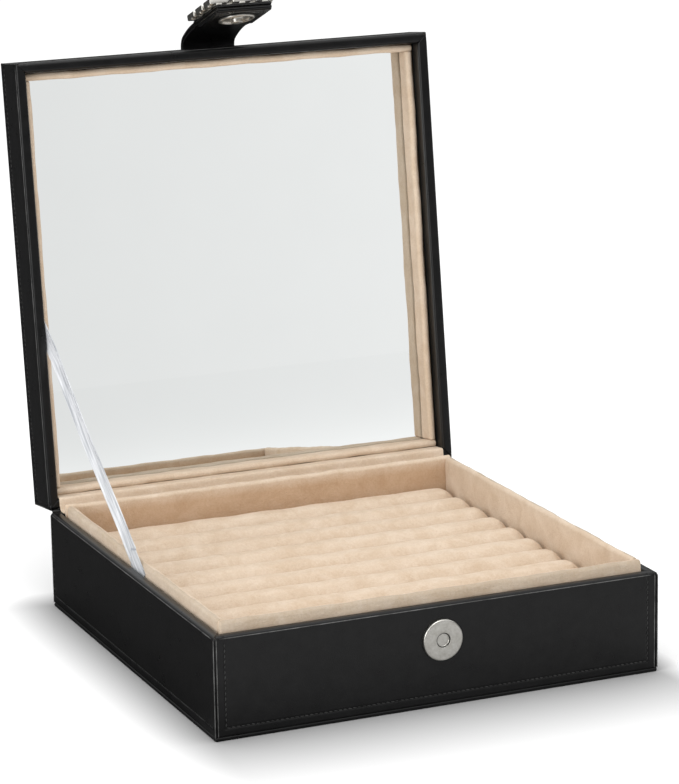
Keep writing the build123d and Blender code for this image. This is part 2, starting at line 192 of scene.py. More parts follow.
# To blurred reflections the floor is dark at the back left and paler to the front right.
floor_run = floor_tree.nodes.new("ShaderNodeVectorMath")
floor_run.operation = "DOT_PRODUCT"
floor_run.inputs[1].default_value = (0.5, -0.87, 0)
floor_tree.links.new(floor_way.outputs["Object"], floor_run.inputs[0])
floor_gloss = spread(floor_tree, floor_run.outputs["Value"], 0.05, 0.5, last=0.09)
# Painted shadow: the floor's colour darkens near the box.
floor_painted_shadow = painted_shadow_by_box(floor_tree, floor_way.outputs["Object"])
floor_tone = gloss_or_plain(floor_tree, floor_gloss, 1.0)
floor_colour = join_values(floor_tree, "MULTIPLY", floor_painted_shadow, floor_tone)
floor_tree.links.new(floor_colour, floor_shader.inputs["Base Color"])
floor.data.materials.append(floor_paint)


# Leather: smooth black coated leather with a very fine pebble grain. One grain group serves
# the covers, the strap, the hinge spine, their edge beads with painted highlights, and their thread.
def new_group(name, inputs, outputs):
    """A node group with the given float inputs and outputs, and its in and out nodes."""
    group = bpy.data.node_groups.new(name, "ShaderNodeTree")
    for title, value in inputs.items():
        socket = group.interface.new_socket(title, in_out="INPUT", socket_type="NodeSocketFloat")
        socket.default_value = value
    for title in outputs:
        group.interface.new_socket(title, in_out="OUTPUT", socket_type="NodeSocketFloat")
    return group, group.nodes.new("NodeGroupInput"), group.nodes.new("NodeGroupOutput")


def pattern_texture(tree, kind, place, scale, **settings):
    """A texture read at a place, with its scale from a number or a socket."""
    node = add_node(tree, kind, **settings)
    tree.links.new(place, node.inputs["Vector"])
    if isinstance(scale, float):
        node.inputs["Scale"].default_value = scale
    else:
        tree.links.new(scale, node.inputs["Scale"])
    return node


def grain_group():
    """Height: pebbles from a cell pattern plus a slow swell. Wear: soft blotches from 0 to 1."""
    group, given, out = new_group("leather_grain", {"Pebbles": 1900.0, "Swell": 60.0}, ("Height", "Wear"))
    place = group.nodes.new("ShaderNodeTexCoord").outputs["Object"]
    pebbles = pattern_texture(group, "ShaderNodeTexVoronoi", place, given.outputs["Pebbles"])
    pebbles.feature = "SMOOTH_F1"
    swell = pattern_texture(group, "ShaderNodeTexNoise", place, given.outputs["Swell"], Detail=3.0)
    wear = pattern_texture(group, "ShaderNodeTexNoise", place, 170.0, Detail=5.0, Roughness=0.65)
    height = join_values(group, "MULTIPLY_ADD", swell.outputs["Fac"], 3.0, pebbles.outputs["Distance"])
    group.links.new(height, out.inputs["Height"])
    group.links.new(wear.outputs["Fac"], out.inputs["Wear"])
    return group


def ramp(tree, source, low, high):
    """A colour ramp from a low to a high colour, fed by a 0 to 1 socket."""
    node = tree.nodes.new("ShaderNodeValToRGB")
    node.color_ramp.elements[0].color = (*low, 1)
    node.color_ramp.elements[1].color = (*high, 1)
    node.color_ramp.elements[0].position = 0.3
    node.color_ramp.elements[1].position = 0.7
    tree.links.new(source, node.inputs["Fac"])
    return node.outputs["Color"]


def finish_material(name, group, colours, rough, bump, distance, **settings):
    """A material on a pattern group: its height gives the bump, and its other output, the tone,
    the colour and the roughness between their two ends. The settings are sockets of the shader.
    """
    material, tree, shader = new_material(name)
    pattern = tree.nodes.new("ShaderNodeGroup")
    pattern.node_tree = group
    height, tone = pattern.outputs
    raised = add_node(tree, "ShaderNodeBump", Strength=bump, Distance=distance)
    tree.links.new(height, raised.inputs["Height"])
    tree.links.new(raised.outputs["Normal"], shader.inputs["Normal"])
    tree.links.new(ramp(tree, tone, *colours), shader.inputs["Base Color"])
    tree.links.new(spread(tree, tone, *rough), shader.inputs["Roughness"])
    for title, value in settings.items():
        shader.inputs[title.replace("_", " ")].default_value = value
    return material


grain = grain_group()
leather = finish_material(
    "black_leather", grain, ((0.0048, 0.0048, 0.005), (0.0078, 0.0078, 0.008)),
    rough=(0.24, 0.34), bump=0.25, distance=0.12 * MM, Specular_IOR_Level=0.3,
)
thread = finish_material(
    "black_thread", grain, ((0.002, 0.002, 0.002), (0.04, 0.04, 0.039)),
    rough=(0.2, 0.4), bump=0.6, distance=0.1 * MM, Specular_IOR_Level=0.5,
)
# Edge beads in a lighter grey: painted highlights along the rolled edges of the leather.
painted_edge_highlight = finish_material(
    "leather_edge_painted_highlight", grain, ((0.02, 0.02, 0.0195), (0.15, 0.15, 0.147)),
    rough=(0.25, 0.4), bump=0.4, distance=0.1 * MM, Specular_IOR_Level=0.5,
)

# Walls of the case: each board is covered by a leather panel that is turned over the rim and
# glued down inside. Panels meet in a narrow groove beside each corner and are stitched.
lid_joint = frame["joints"][0]
LID_AXIS = np.array(lid_joint["pos_m"])[1:]
LID_OPEN = np.radians(lid_joint["range_deg"][1])


def turned(points, axis, angle):
    """Points turned by an angle about a line along X through (y, z)."""
    y, z = points[..., 1] - axis[0], points[..., 2] - axis[1]
    cos, sin = np.cos(angle), np.sin(angle)
    return np.stack((points[..., 0], axis[0] + y * cos - z * sin, axis[1] + y * sin + z * cos), -1)


def opened(points):
    """Points of the shut lid, swung open to where the lid rests."""
    return turned(points, LID_AXIS, -LID_OPEN)


def cad_box(node):
    """Lowest and highest corner of a CAD node, as arrays."""
    return [np.array(corner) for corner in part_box(node)]


def node_points(node):
    """The vertices of a CAD node."""
    mesh = frame["nodes"][node].data
    flat = np.zeros(len(mesh.vertices) * 3, np.float32)
    mesh.vertices.foreach_get("co", flat)
    return flat.reshape(-1, 3).astype(float)


def shut_box(node):
    """Lowest and highest corner of a node of the lid, with the lid shut."""
    points = turned(node_points(node), LID_AXIS, LID_OPEN)
    return points.min(0), points.max(0)


def facing_out(points, faces):
    """The faces, turned round if the volume they enclose, a sum of triple products, is negative."""
    corners = points[faces]
    volume = np.einsum("ij,ij->i", corners[:, 0], np.cross(corners[:, 1], corners[:, 2])).sum()
    volume += np.einsum("ij,ij->i", corners[:, 0], np.cross(corners[:, 2], corners[:, 3])).sum()
    return faces if volume > 0 else faces[:, ::-1]


def add_piece(name, part, material, body, replaces=()):
    """A smooth-shaded mesh object from (points, faces), riding on a body in place of some nodes.
    A body of None leaves it on no body here.
    """
    mesh = bpy.data.meshes.new(name)
    mesh.from_pydata(part[0], [], part[1])
    mesh.validate()
    mesh.polygons.foreach_set("use_smooth", np.ones(len(mesh.polygons), bool))
    mesh.materials.append(material)
    mesh.update()
    piece = bpy.data.objects.new(name, mesh)
    bpy.context.scene.collection.objects.link(piece)
    if body:
        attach(piece, body)
    if replaces:
        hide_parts(*replaces)
    return piece


def grid_faces(rows, columns, wrap=False, closed=False):
    """Quads between the points of a grid, row by row; wrap joins the last column to the first,
    and closed joins the last row to the first.
    """
    index = np.arange(rows * columns).reshape(rows, columns)
    if wrap:
        index = np.hstack((index, index[:, :1]))
    if closed:
        index = np.vstack((index, index[:1]))
    quads = (index[:-1, :-1], index[1:, :-1], index[1:, 1:], index[:-1, 1:])
    return np.stack(quads, -1).reshape(-1, 4)


def skin_parts(outer, inner):
    """A closed skin between two grids of the same shape: both faces and a strip round the edge."""
    rows, columns = outer.shape[:2]
    index = np.arange(rows * columns).reshape(rows, columns)
    rim = np.concatenate((index[0, :-1], index[:-1, -1], index[-1, :0:-1], index[:0:-1, 0]))
    after = np.roll(rim, -1)
    below = rows * columns
    front = grid_faces(rows, columns)
    edge = np.stack((after, rim, rim + below, after + below), -1)
    faces = np.concatenate((front, front[:, ::-1] + below, edge))
    points = np.concatenate((outer.reshape(-1, 3), inner.reshape(-1, 3)))
    return points, facing_out(points, faces)


def joined(parts):
    """Several (points, faces) pairs as one pair."""
    starts = np.cumsum([0] + [len(points) for points, _ in parts])[:-1]
    faces = np.concatenate([faces + start for (_, faces), start in zip(parts, starts)])
    return np.concatenate([points for points, _ in parts]), faces


def arc(centre, radius, start, end, steps):
    """Points of an arc in a plane, from a start to an end angle in degrees."""
    angles = np.radians(np.linspace(start, end, steps))
    return np.stack((centre[0] + radius * np.cos(angles), centre[1] + radius * np.sin(angles)), -1)


def close_levels(low, high, marks, reach, coarse):
    """Levels from low to high: coarse steps, with fine ones within reach of each mark."""
    fine = [mark + reach * np.linspace(-1, 1, 13) for mark in marks]
    levels = np.concatenate([np.arange(low, high, coarse), [high]] + fine)
    return np.unique(np.round(levels[(levels >= low) & (levels <= high)], 6))


THICK = 0.8 * MM
WALL = 4.8 * MM
RIM_ROUND = 1.5 * MM
STITCH_INSET = 3.6 * MM
BACK_INSET = 2.2 * MM
STITCH_PITCH = 2.15 * MM
STITCH_HALF_LENGTH = 0.78 * MM
STITCH_HALF_WIDTH = 0.3 * MM
STITCH_TILT = np.radians(9)
WALL_THREAD_LIFT = 0.12 * MM
TOP_THREAD_LIFT = 0.05 * MM
EDGE_BEAD = 0.22 * MM
EDGE_ROLL = 0.7 * MM
CREASE = 0.3 * MM
CREASE_REACH = 0.9 * MM
DEEPEST = 0.75 * THICK
FINE_REACH = 1.1 * MM


def bend_in(distance, radius):
    """How far a rolled edge falls away at a distance from its end: a quarter circle."""
    short = np.clip(radius - distance, 0, radius)
    return radius - np.sqrt(radius ** 2 - short ** 2)


def crease(offset):
    """A soft valley of unit depth across the line offset 0: a raised cosine."""
    return np.where(np.abs(offset) < CREASE_REACH, 0.5 + 0.5 * np.cos(np.pi * offset / CREASE_REACH), 0)


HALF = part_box("base_leather_front")[1].x + 1.8 * MM
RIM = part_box("base_leather_front")[1].z
SOLE_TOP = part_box("base_sole")[1].z
LID_RIM = shut_box("lid_leather_front")[0][2]
LID_TOP = shut_box("lid_leather_top")[1][2]
SEAM = 1.35 * MM
QUARTERS = {"front": 0, "left": 1, "back": 2, "right": 3}


def wall_panel(half, depth, flap, limit, plain_end=0):
    """A panel as (outer, inner) grids over (s, k): s along the wall, k from the far edge, over
    the rim and down inside. Each point is (s, d, h): d inwards from the outside, h from the rim.
    The limit gives the half length left at each d, so that the turned-over rims meet in a mitre.
    The plain end, +1 or -1 in s, has no stitched line beside it. The outer grid sinks along the
    path's normal: by bend_in at the ends and the far edge, and by crease along stitched lines.
    """
    marks = (-half, -half + STITCH_INSET, half - STITCH_INSET, half)
    if plain_end:
        marks += (-half + BACK_INSET, half - BACK_INSET)
    s = close_levels(-half, half, marks, FINE_REACH, coarse=8 * MM)
    far_line = depth - STITCH_INSET
    h = close_levels(RIM_ROUND, depth, (far_line, depth), FINE_REACH, coarse=6 * MM)[::-1]
    outside = np.stack((np.zeros(len(h)), h), -1)
    over = arc((RIM_ROUND, RIM_ROUND), RIM_ROUND, 180, 270, 8)[1:]
    across = arc((WALL - RIM_ROUND, RIM_ROUND), RIM_ROUND, 270, 360, 8)
    down = np.stack((np.full(4, WALL), np.linspace(RIM_ROUND, flap, 5)[1:]), -1)
    path = np.concatenate((outside, over, across, down))
    step = np.gradient(path, axis=0)
    normal = np.stack((step[:, 1], -step[:, 0]), -1) / np.linalg.norm(step, axis=1)[:, None]
    under = path - normal * THICK
    on_face = path[:, 0] < THICK
    far = bend_in(depth - path[:, 1], EDGE_ROLL) * on_face
    inset = STITCH_INSET if plain_end == 0 else BACK_INSET
    near_lines = (np.abs(s) < half - inset + CREASE_REACH)[:, None] & (path[:, 1] < far_line + CREASE_REACH)
    beside = crease(half - inset - np.abs(s)) * (np.sign(s) != plain_end)
    valley = np.maximum(beside[:, None], crease(path[:, 1] - far_line))
    pull = bend_in(half - np.abs(s), EDGE_ROLL)[:, None] + far + CREASE * valley * near_lines * on_face
    place = path - normal * np.minimum(pull, DEEPEST)[..., None]
    grids = []
    for points in (place, np.broadcast_to(under, place.shape)):
        along = s[:, None] * limit(points[..., 0]) / half
        grids.append(np.concatenate((along[..., None], points), -1))
    return grids


def side_limit(d):
    """Half length of a side panel at a depth: full on the face, then a 45 degree mitre."""
    return np.interp(d, (THICK, SEAM, WALL), (HALF, HALF - SEAM, HALF - WALL))


def front_limit(d):
    """Half length of a front or back panel at a depth: short of the corner seam, then a mitre."""
    return np.interp(d, (SEAM, WALL), (HALF - SEAM, HALF - WALL))


def on_wall(grid, side, rim, grow):
    """(s, d, h) points of a wall as world points; each side is a quarter turn on from the last."""
    x, y, z = grid[..., 0], grid[..., 1] - HALF, rim + grow * grid[..., 2]
    for _ in range(QUARTERS[side]):
        x, y = y, -x
    return np.stack((x, y, z), -1)


def thread_rows(rows, outward):
    """Stitches along rows in (s, h): each is a short bead of six-sided rings, tilted a little.

    The bead's radius at u from -1 to 1 along it is its half width times the root of 1 - u^2.
    The beads' middles lie at the given height outward. Points are (s, -height, h).
    """
    u = np.array((-0.97, -0.7, 0.0, 0.7, 0.97))
    ring = np.radians(np.arange(0, 360, 60))
    width = STITCH_HALF_WIDTH * np.sqrt(1 - u ** 2)
    bead = np.stack((
        np.broadcast_to((STITCH_HALF_LENGTH * u)[:, None], (len(u), len(ring))),
        width[:, None] * np.cos(ring),
        0.8 * width[:, None] * np.sin(ring),
    ), -1).reshape(-1, 3)
    caps = np.array(((0, 1, 2, 3), (0, 3, 4, 5)))
    last_ring = len(bead) - len(ring)
    shape = np.concatenate((grid_faces(len(u), len(ring), True), caps[:, ::-1], caps + last_ring))
    places, ways = [], []
    for start, end in rows:
        start, end = np.array(start, float), np.array(end, float)
        length = np.linalg.norm(end - start)
        count = int(length / STITCH_PITCH)
        middles = start + (end - start) * ((np.arange(count) + 0.5) / count)[:, None]
        places.append(middles)
        ways.append(np.broadcast_to((end - start) / length, middles.shape))
    places, ways = np.concatenate(places), np.concatenate(ways)
    left_ways = np.stack((-ways[:, 1], ways[:, 0]), -1)
    turned_ways = ways * np.cos(STITCH_TILT) + left_ways * np.sin(STITCH_TILT)
    side_ways = np.stack((-turned_ways[:, 1], turned_ways[:, 0]), -1)
    flat = places[:, None, :] + bead[:, 0:1] * turned_ways[:, None, :] + bead[:, 1:2] * side_ways[:, None, :]
    height = np.broadcast_to(outward + bead[:, 2], flat.shape[:2])
    points = np.stack((flat[..., 0], -height, flat[..., 1]), -1)
    faces = (shape[None] + len(bead) * np.arange(len(places))[:, None, None]).reshape(-1, 4)
    return points.reshape(-1, 3), faces


def wall_stitches(half, depth, plain_end):
    """The stitched rows of a wall panel: along its far edge, and up beside the ends that have one."""
    s = half - (STITCH_INSET if plain_end == 0 else BACK_INSET)
    h = depth - STITCH_INSET
    rows = [((-s, h), (s, h))]
    rows += [((end * s, 3 * MM), (end * s, h)) for end in (-1, 1) if end != plain_end]
    return thread_rows(rows, WALL_THREAD_LIFT - CREASE)


def tube_part(rings):
    """A closed solid through a stack of convex rings, its two ends closed by rows of quads."""
    rows, count = rings.shape[:2]
    bars = np.arange(count // 2 - 1)
    cap = np.stack((bars, bars + 1, count - 2 - bars, count - 1 - bars), -1)
    faces = np.concatenate((grid_faces(rows, count, True), cap, cap[:, ::-1] + (rows - 1) * count))
    points = rings.reshape(-1, 3)
    return points, facing_out(points, faces)


def edge_beads(half, depth):
    """Thin rolled edges of a wall panel: up both ends and along the rim, as six-sided bars.

    Each is (s, d, h) rings round a straight line, sunk to a depth, half as thick at both tips.
    """
    ring = np.radians(np.arange(0, 360, 60))
    share = np.linspace(0, 1, 60)[:, None]
    size = EDGE_BEAD * (1 - 0.5 * ((share == 0) | (share == 1)))
    end_s, end_low = half - 0.1 * MM, 1.2 * MM
    rim_s, rim_h = half - 1.5 * MM, 1.1 * MM
    lines = [((end * end_s, end_low), (end * end_s, depth), 0.12 * MM) for end in (-1, 1)]
    lines.append(((-rim_s, rim_h), (rim_s, rim_h), 0.17 * MM))
    bars = []
    for start, end, sunk in lines:
        middle = np.array(start) * (1 - share) + np.array(end) * share
        upright = start[0] == end[0]
        s = middle[:, :1] + upright * size * np.cos(ring)
        h = middle[:, 1:] + (not upright) * size * np.cos(ring)
        bars.append(np.stack((s, sunk + size * np.sin(ring), h), -1))
    return bars


def block_part(low, high):
    """A plain closed block between two corners."""
    low, high = np.array(low, float), np.array(high, float)
    corner = np.array([(i >> 2 & 1, i >> 1 & 1, i & 1) for i in range(8)])
    faces = np.array(((0, 1, 3, 2), (4, 6, 7, 5), (0, 4, 5, 1), (2, 3, 7, 6), (0, 2, 6, 4), (1, 5, 7, 3)))
    points = low + corner * (high - low)
    return points, facing_out(points, faces)


def clothe_case(case, rim, grow, depth, flap, pose):
    """The four leather walls of the base or the lid, with their edge beads, painted lighter as
    highlights, and their stitches. Each side wall has a strip turned in behind both ends, which
    closes the groove at the corner.
    """
    for side in QUARTERS:
        wide = side in ("left", "right")
        plain_end = {"left": 1, "right": -1}.get(side, 0)
        half = HALF if wide else HALF - SEAM
        grids = wall_panel(half, depth, flap, side_limit if wide else front_limit, plain_end)
        outer, inner = (pose(on_wall(grid, side, rim, grow)) for grid in grids)
        parts = [skin_parts(outer, inner)]
        for end in (-1, 1) if wide else ():
            near, far = sorted((end * (HALF - THICK), end * (HALF - 0.4 * MM)))
            points, faces = block_part((near, THICK, THICK), (far, 2 * THICK, depth))
            points = pose(on_wall(points, side, rim, grow))
            parts.append((points, facing_out(points, faces)))
        # The beads are painted lighter as highlights along the rolled edges.
        beads = [tube_part(pose(on_wall(bead, side, rim, grow))) for bead in edge_beads(half, depth)]
        add_piece(f"{case}_edges_{side}", joined(beads), painted_edge_highlight, case)
        node = f"{case}_leather_{side}"
        add_piece(f"{case}_cover_{side}", joined(parts), leather, case, (node,))
        points, faces = wall_stitches(half, depth, plain_end)
        points = pose(on_wall(points, side, rim, grow))
        stitches = (points, facing_out(points, faces))
        add_piece(f"{case}_stitches_{side}", stitches, thread, case)


clothe_case("base", RIM, -1, RIM - SOLE_TOP, flap=7 * MM, pose=np.asarray)
clothe_case("lid", LID_RIM, 1, LID_TOP - THICK - LID_RIM, flap=8 * MM, pose=opened)


def top_cover():
    """The lid's top panel: a square skin whose edges roll down and whose stitched line dips."""
    marks = (-HALF, -HALF + STITCH_INSET, HALF - STITCH_INSET, HALF)
    side = close_levels(-HALF, HALF, marks, FINE_REACH, coarse=8 * MM)
    x, y = np.meshgrid(side, side, indexing="ij")
    edge = HALF - np.maximum(np.abs(x), np.abs(y))
    dip = bend_in(edge, EDGE_ROLL) + CREASE * crease(edge - STITCH_INSET)
    outer = np.stack((x, y, LID_TOP - np.minimum(dip, DEEPEST)), -1)
    inner = np.stack((x, y, np.full_like(x, LID_TOP - THICK)), -1)
    return skin_parts(opened(outer), opened(inner))


def lid_top_stitches(corners, outward):
    """A closed row of stitches on the lid's top, through corners in (x, y) with the lid shut."""
    points, faces = thread_rows(list(zip(corners, corners[1:] + corners[:1])), outward)
    points = opened(np.stack((points[:, 0], points[:, 2], LID_TOP - points[:, 1]), -1))
    return points, facing_out(points, faces)


add_piece("lid_cover_top", top_cover(), leather, "lid", ("lid_leather_top",))
line = HALF - STITCH_INSET
corners = [(-line, -line), (line, -line), (line, line), (-line, line)]
stitches = lid_top_stitches(corners, TOP_THREAD_LIFT - CREASE)
add_piece("lid_stitches_top", stitches, thread, "lid")


# Sole: the leather-covered panel under the case, a thin plate with rounded edges that shows
# as a lip below the walls.
def outline(half_w, half_h, corner, per_corner, per_side):
    """Rounded rectangles, one for each row of the sizes: corner arcs joined by straight sides."""
    half_w, half_h, corner = (np.asarray(size, float).reshape(-1, 1) for size in (half_w, half_h, corner))
    loops = []
    for quarter in range(4):
        angles = np.radians(90 * quarter + np.linspace(0, 90, per_corner))
        way_x, way_y = ((1, 1), (-1, 1), (-1, -1), (1, -1))[quarter]
        loops.append(np.stack((
            way_x * (half_w - corner) + corner * np.cos(angles),
            way_y * (half_h - corner) + corner * np.sin(angles),
        ), -1))
    points = []
    for quarter in range(4):
        points.append(loops[quarter])
        share = (np.arange(per_side) + 1).reshape(1, -1, 1) / (per_side + 1)
        last, first = loops[quarter][:, -1:], loops[(quarter + 1) % 4][:, :1]
        points.append(last + (first - last) * share)
    return np.concatenate(points, 1)


def bar_rings(length, half_w, half_h, corner, end, step, per_corner=5, per_side=1):
    """Rings (t, u, v) of a rounded bar along t; near each end they shrink by a quarter circle."""
    rounded = end * (1 - np.cos(np.radians(np.linspace(0, 90, 6))))
    middle = np.linspace(end, length - end, max(2, int(length / step)))[1:-1]
    t = np.concatenate((rounded, middle, length - rounded[::-1])) - length / 2
    inset = bend_in(length / 2 - np.abs(t), end)
    corner = np.maximum(corner - inset, 0.02 * MM)
    flat = outline(half_w - inset, half_h - inset, corner, per_corner, per_side)
    along = np.broadcast_to(t[:, None, None], (len(t), flat.shape[1], 1))
    return np.concatenate((along, flat), -1)


rings = bar_rings(2 * HALF, HALF, SOLE_TOP / 2, corner=0.75 * MM, end=0.75 * MM, step=20 * MM)
rings[..., 2] += SOLE_TOP / 2
add_piece("base_sole_cover", tube_part(rings), leather, "base", ("base_sole",))


# Lining: cards wrapped in beige velvet stand round the tray, proud of the rim, and round the
# mirror in the lid. Their long edges are soft and full.
def velvet_group():
    """Height: fine pile. Nap: broad patches of brushing with a share of the pile, about 0 to 1."""
    group, given, out = new_group("velvet_pile", {"Pile": 1100.0, "Patches": 90.0}, ("Height", "Nap"))
    place = group.nodes.new("ShaderNodeTexCoord").outputs["Object"]
    noise = "ShaderNodeTexNoise"
    fine = pattern_texture(group, noise, place, given.outputs["Pile"], Detail=4.0, Roughness=0.7)
    broad = pattern_texture(group, noise, place, given.outputs["Patches"], Detail=5.0, Roughness=0.7)
    broad.inputs["Distortion"].default_value = 0.6
    lowered = join_values(group, "SUBTRACT", broad.outputs["Fac"], 0.3)
    nap = join_values(group, "MULTIPLY_ADD", fine.outputs["Fac"], 0.6, lowered)
    group.links.new(fine.outputs["Fac"], out.inputs["Height"])
    group.links.new(nap, out.inputs["Nap"])
    return group


pile = velvet_group()
velvet = finish_material(
    "beige_velvet", pile, ((0.615, 0.475, 0.345), (0.725, 0.6, 0.475)),
    rough=(0.8, 0.95), bump=0.7, distance=0.6 * MM, Specular_IOR_Level=0.1,
    Sheen_Weight=0.12, Sheen_Roughness=0.45, Sheen_Tint=(1.0, 0.9, 0.78, 1),
)


def tint_where(material, attribute, share):
    """Multiply a material's colour by a share where a piece's own attribute is 1."""
    tree = material.node_tree
    colour = tree.nodes["Principled BSDF"].inputs["Base Color"]
    where = tree.nodes.new("ShaderNodeAttribute")
    where.attribute_name = attribute
    tint = tree.nodes.new("ShaderNodeMix")
    tint.data_type = "RGBA"
    tint.blend_type = "MULTIPLY"
    factor, plain, multiplier, result = tint.inputs[0], tint.inputs[6], tint.inputs[7], tint.outputs[2]
    multiplier.default_value = (*share, 1)
    tree.links.new(where.outputs["Fac"], factor)
    tree.links.new(colour.links[0].from_socket, plain)
    tree.links.new(result, colour)


# Painted shade: the velvet greys on its rims.
tint_where(velvet, "painted_rim_shade", (0.7, 0.71, 0.71))
# Painted shade: the inner faces of the base's front and back cards darker and browner.
tint_where(velvet, "painted_wall_shade", (0.84, 0.73, 0.63))


def ripple(points, height, phase):
    """Points moved by at most the given height: in each direction a slow sine of the place plus
    half of a quicker one.
    """
    x, y, z = np.moveaxis(points / MM, -1, 0)
    slow = np.stack((
        np.sin(0.21 * x + 0.13 * y + 0.31 * z + phase),
        np.sin(0.17 * y + 0.19 * x - 0.29 * z + 2.1 + phase),
        np.sin(0.23 * x - 0.16 * y + 0.27 * z + 4.4 + phase),
    ), -1)
    quick = np.stack((
        np.sin(0.57 * x - 0.43 * y + 0.3 * z + 2 * phase),
        np.sin(0.61 * y + 0.47 * x + 0.2 * z + phase),
        np.sin(0.53 * x + 0.58 * y + phase),
    ), -1)
    return points + height / 1.5 * (slow + 0.5 * quick)


CARD_RIPPLE = 0.2 * MM
# Strength of the painted rim shade in each case; the base's back card has none.
RIM_SHADE = {"base": 1, "lid": 0.35}
RIM_UNSHADED = "base_liner_back"


def lining_card(case, side, phase):
    """A wrapped card along one wall of the base or the lid: a bar with full round edges.

    One attribute is painted shade on the rims: greatest at the outside of the open rim and 0 from
    5 mm away. The other is painted shade on the inside of the base's front and back cards, where it
    is 1.
    """
    node = f"{case}_liner_{side}"
    in_base = case == "base"
    low, high = cad_box(node) if in_base else shut_box(node)
    middle, half = (low + high) / 2, (high - low) / 2
    lengthways = side in ("front", "back")
    along = 0 if lengthways else 1
    through_card = 1 - along
    rings = bar_rings(
        2 * half[along], half[through_card], half[2], corner=1.62 * MM, end=0.8 * MM, step=3 * MM,
        per_corner=6, per_side=9,
    )
    if not lengthways:
        rings = rings[..., (1, 0, 2)]
    soft = ripple(rings + middle, CARD_RIPPLE, phase)
    shape = tube_part(soft if in_base else opened(soft))
    wrapped = add_piece(f"velvet_{node}", shape, velvet, case, (node,))
    from_rim = np.abs(soft[..., 2] - (high[2] if in_base else low[2]))
    inside = (middle - soft)[..., through_card] * np.sign(middle[through_card]) > 0
    # Painted shade: grey on the rims, dark on the inner faces of the base's front and back cards.
    wear_and_rim_shade = 0 if node == RIM_UNSHADED else RIM_SHADE[case]
    painted_rim_shade = wear_and_rim_shade * np.clip(1.2 - from_rim / (4 * MM), 0, 1) * (1 - 0.8 * inside)
    # Painted shade on the inner faces of the base's front and back cards.
    painted_wall_shade = np.clip(from_rim / (2 * MM) - 0.5, 0, 1) * inside * (in_base and lengthways)
    for title, value in (("painted_rim_shade", painted_rim_shade), ("painted_wall_shade", painted_wall_shade)):
        wrapped.data.attributes.new(title, "FLOAT", "POINT").data.foreach_set("value", value.ravel())


for number, side in enumerate(QUARTERS):
    lining_card("base", side, 1.3 * number)
    lining_card("lid", side, 1.3 * number + 0.7)

# Ring rolls: foam bars in velvet sleeves, packed side by side in the tray so that they press
# on each other and hold a ring between them. Each is puffed up by a short cloth simulation.
ROLLS = 10
PUFF = 0.9 * MM
PUFF_FRAMES = 20
ROLL_RIPPLE = 0.28 * MM
ROLL_GAP = 0.03 * MM
ROLL_RISE = 0.4 * MM


def inflate(piece):
    """The points of the piece, remeshed and blown up as cloth, each moved by at most PUFF."""
    bpy.context.view_layer.objects.active = piece
    remesh = piece.modifiers.new("remesh", "REMESH")
    remesh.mode = "VOXEL"
    remesh.voxel_size = 4 * MM
    bpy.ops.object.modifier_apply(modifier="remesh")
    count = len(piece.data.vertices)
    before = np.zeros(count * 3, np.float32)
    piece.data.vertices.foreach_get("co", before)
    cloth = piece.modifiers.new("cloth", "CLOTH")
    cloth.settings.quality = 5
    cloth.settings.use_pressure = True
    cloth.settings.uniform_pressure_force = 4
    cloth.settings.effector_weights.gravity = 0
    cloth.point_cache.frame_start = 1
    cloth.point_cache.frame_end = PUFF_FRAMES
    for moment in range(1, PUFF_FRAMES + 1):
        bpy.context.scene.frame_set(moment)
    puffed = piece.evaluated_get(bpy.context.evaluated_depsgraph_get()).to_mesh()
    after = np.zeros(count * 3, np.float32)
    puffed.vertices.foreach_get("co", after)
    piece.modifiers.remove(cloth)
    bpy.context.scene.frame_set(1)
    move = (after - before).reshape(-1, 3)
    size = np.linalg.norm(move, axis=1, keepdims=True)
    return before.reshape(-1, 3) + move * np.minimum(1, PUFF / np.maximum(size, 1e-9))


def ring_roll(number):
    """One roll: a rounded bar, inflated, flattened where it meets its neighbours and the tray."""
    node = f"ring_roll_{number:02d}"
    low, high = cad_box(node)
    middle, half = (low + high) / 2, (high - low) / 2
    half_length, half_w, half_h = half - (0.4 * MM, 0.5 * MM, PUFF)
    rings = bar_rings(2 * half_length, half_w, half_h, corner=8.3 * MM, end=5 * MM, step=4 * MM, per_corner=7)
    piece = add_piece(f"velvet_{node}", tube_part(rings), velvet, None, (node,))
    points = inflate(piece)
    points = ripple(points + middle, ROLL_RIPPLE, phase=2.4 * number)
    points = np.clip(points, low + (0, ROLL_GAP, 0), high + (0, -ROLL_GAP, ROLL_RISE))
    piece.data.vertices.foreach_set("co", points.astype(np.float32).ravel())
    piece.data.polygons.foreach_set("use_smooth", np.ones(len(piece.data.polygons), bool))
    piece.data.update()
    smooth = piece.modifiers.new("smooth", "SUBSURF")
    smooth.levels = smooth.render_levels = 2
    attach(piece, "base")


for number in range(1, ROLLS + 1):
    ring_roll(number)

# Mirror: silvered glass, glued to a card inside the lid and framed by the velvet cards. Its
# silver is painted a little brighter from left to right, a painted change in its reflection, with a
# trace of haze.
silver, silver_tree, silver_shader = new_material("mirror_silver")
silver_shader.inputs["Metallic"].default_value = 1
silver_shader.inputs["Roughness"].default_value = 0
silver_place = silver_tree.nodes.new("ShaderNodeTexCoord").outputs["Object"]
haze = pattern_texture(silver_tree, "ShaderNodeTexNoise", silver_place, 30.0, Detail=3.0)
silver_parts = silver_tree.nodes.new("ShaderNodeSeparateXYZ")
silver_tree.links.new(silver_place, silver_parts.inputs["Vector"])
